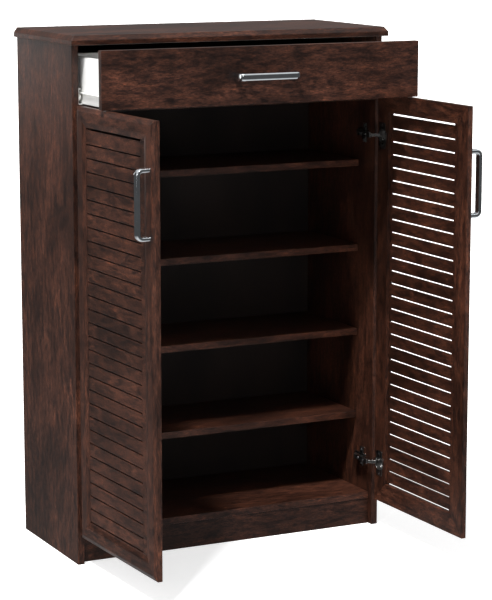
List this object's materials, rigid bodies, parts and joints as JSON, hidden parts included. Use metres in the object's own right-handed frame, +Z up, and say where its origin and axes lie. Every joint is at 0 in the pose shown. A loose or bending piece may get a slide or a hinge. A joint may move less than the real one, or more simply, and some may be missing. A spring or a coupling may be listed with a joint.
{
  "type": "shoe cabinet",
  "caption": "Free-standing shoe cabinet in dark walnut laminate: two louvred doors on concealed hinges, open shelves behind them and a full-width drawer above.",
  "frame": {"origin": "centre of the plinth's underside, on the floor, at the middle of the cabinet's width", "axes": "+Z up, +X to the right as seen from the front, +Y towards the wall, so the doors and drawer face -Y"},
  "size_m": [0.8361, 0.7417, 1.2],
  "materials": {
    "walnut_laminate": "satin dark walnut laminate",
    "walnut_laminate_inside": "matte dark walnut laminate",
    "white_melamine": "satin white melamine-faced board",
    "polished_chrome": "polished",
    "nickel_hinge": "nickel-plated pressed steel",
    "runner_steel": "epoxy-coated white",
    "roller_nylon": "moulded nylon"
  },
  "bodies": {
    "carcass": {"top_board": "walnut_laminate", "side_panel_left": "walnut_laminate", "side_panel_right": "walnut_laminate", "plinth": "walnut_laminate", "bottom_board": "walnut_laminate", "drawer_divider": "walnut_laminate_inside", "back_panel": "walnut_laminate_inside", "shelf_1": "walnut_laminate", "shelf_2": "walnut_laminate", "shelf_3": "walnut_laminate", "shelf_4": "walnut_laminate", "hinge_arm_left_lower": "nickel_hinge", "hinge_plate_left_lower": "nickel_hinge", "hinge_arm_left_upper": "nickel_hinge", "hinge_plate_left_upper": "nickel_hinge", "hinge_arm_right_lower": "nickel_hinge", "hinge_plate_right_lower": "nickel_hinge", "hinge_arm_right_upper": "nickel_hinge", "hinge_plate_right_upper": "nickel_hinge", "runner_cabinet_left": "runner_steel", "runner_cabinet_right": "runner_steel"},
    "door_left": {"door_left_rail_top": "walnut_laminate", "door_left_rail_bottom": "walnut_laminate", "door_left_stile_inner": "walnut_laminate", "door_left_stile_hinge": "walnut_laminate", "door_left_louvres": "walnut_laminate", "hinge_cup_left_lower": "nickel_hinge", "hinge_cup_left_upper": "nickel_hinge", "handle_left": "polished_chrome"},
    "door_right": {"door_right_rail_top": "walnut_laminate", "door_right_rail_bottom": "walnut_laminate", "door_right_stile_inner": "walnut_laminate", "door_right_stile_hinge": "walnut_laminate", "door_right_louvres": "walnut_laminate", "hinge_cup_right_lower": "nickel_hinge", "hinge_cup_right_upper": "nickel_hinge", "handle_right": "polished_chrome"},
    "drawer": {"drawer_front": "walnut_laminate", "drawer_side_left": "white_melamine", "drawer_side_right": "white_melamine", "drawer_bottom": "white_melamine", "drawer_back": "white_melamine", "runner_drawer_left": "runner_steel", "runner_drawer_right": "runner_steel", "handle_drawer": "polished_chrome"},
    "link_left_lower": {"hinge_link_left_lower": "nickel_hinge"},
    "link_left_upper": {"hinge_link_left_upper": "nickel_hinge"},
    "link_right_lower": {"hinge_link_right_lower": "nickel_hinge"},
    "link_right_upper": {"hinge_link_right_upper": "nickel_hinge"},
    "roller_front_left": {"roller_front_left": "roller_nylon"},
    "roller_rear_left": {"roller_rear_left": "roller_nylon"},
    "roller_front_right": {"roller_front_right": "roller_nylon"},
    "roller_rear_right": {"roller_rear_right": "roller_nylon"}
  },
  "joints": [
    {"name": "door_left_swing", "type": "hinge", "parent": "carcass", "child": "door_left", "pos_m": [-0.38725, -0.04125, 0.557], "axis": [0, 0, 1], "range_deg": [-17, 88]},
    {"name": "door_right_swing", "type": "hinge", "parent": "carcass", "child": "door_right", "pos_m": [0.38725, -0.04125, 0.557], "axis": [0, 0, -1], "range_deg": [-14, 91]},
    {"name": "drawer_slide", "type": "slide", "parent": "carcass", "child": "drawer", "axis": [0, 1, 0], "range_m": [-0.06, 0.15]},
    {"name": "link_left_lower_turn", "type": "hinge", "parent": "carcass", "child": "link_left_lower", "pos_m": [-0.3542, -0.0336, 0.161], "axis": [0, 0, 1], "range_deg": [-39.7, 8.5]},
    {"name": "link_left_upper_turn", "type": "hinge", "parent": "carcass", "child": "link_left_upper", "pos_m": [-0.3542, -0.0336, 0.948], "axis": [0, 0, 1], "range_deg": [-39.7, 8.5]},
    {"name": "link_right_lower_turn", "type": "hinge", "parent": "carcass", "child": "link_right_lower", "pos_m": [0.3542, -0.0336, 0.161], "axis": [0, 0, -1], "range_deg": [-41, 7.2]},
    {"name": "link_right_upper_turn", "type": "hinge", "parent": "carcass", "child": "link_right_upper", "pos_m": [0.3542, -0.0336, 0.948], "axis": [0, 0, -1], "range_deg": [-41, 7.2]},
    {"name": "roller_front_left_spin", "type": "hinge", "parent": "carcass", "child": "roller_front_left", "pos_m": [-0.3695, -0.012, 1.0635], "axis": [-1, 0, 0], "range_deg": [-434.7, 1079.3]},
    {"name": "roller_rear_left_spin", "type": "hinge", "parent": "drawer", "child": "roller_rear_left", "pos_m": [-0.36575, 0.113, 1.0635], "axis": [-1, 0, 0], "range_deg": [-434.7, 1079.3]},
    {"name": "roller_front_right_spin", "type": "hinge", "parent": "carcass", "child": "roller_front_right", "pos_m": [0.3695, -0.012, 1.0635], "axis": [-1, 0, 0], "range_deg": [-434.7, 1079.3]},
    {"name": "roller_rear_right_spin", "type": "hinge", "parent": "drawer", "child": "roller_rear_right", "pos_m": [0.36575, 0.113, 1.0635], "axis": [-1, 0, 0], "range_deg": [-434.7, 1079.3]}
  ],
  "couplings": [
    {"joint": "link_left_lower_turn", "follows": "door_left_swing", "ratio": -0.44},
    {"joint": "link_left_upper_turn", "follows": "door_left_swing", "ratio": -0.44},
    {"joint": "link_right_lower_turn", "follows": "door_right_swing", "ratio": -0.44},
    {"joint": "link_right_upper_turn", "follows": "door_right_swing", "ratio": -0.44},
    {"joint": "roller_front_left_spin", "follows": "drawer_slide", "rad_per_m": 125},
    {"joint": "roller_rear_left_spin", "follows": "drawer_slide", "rad_per_m": 125},
    {"joint": "roller_front_right_spin", "follows": "drawer_slide", "rad_per_m": 125},
    {"joint": "roller_rear_right_spin", "follows": "drawer_slide", "rad_per_m": 125}
  ]
}
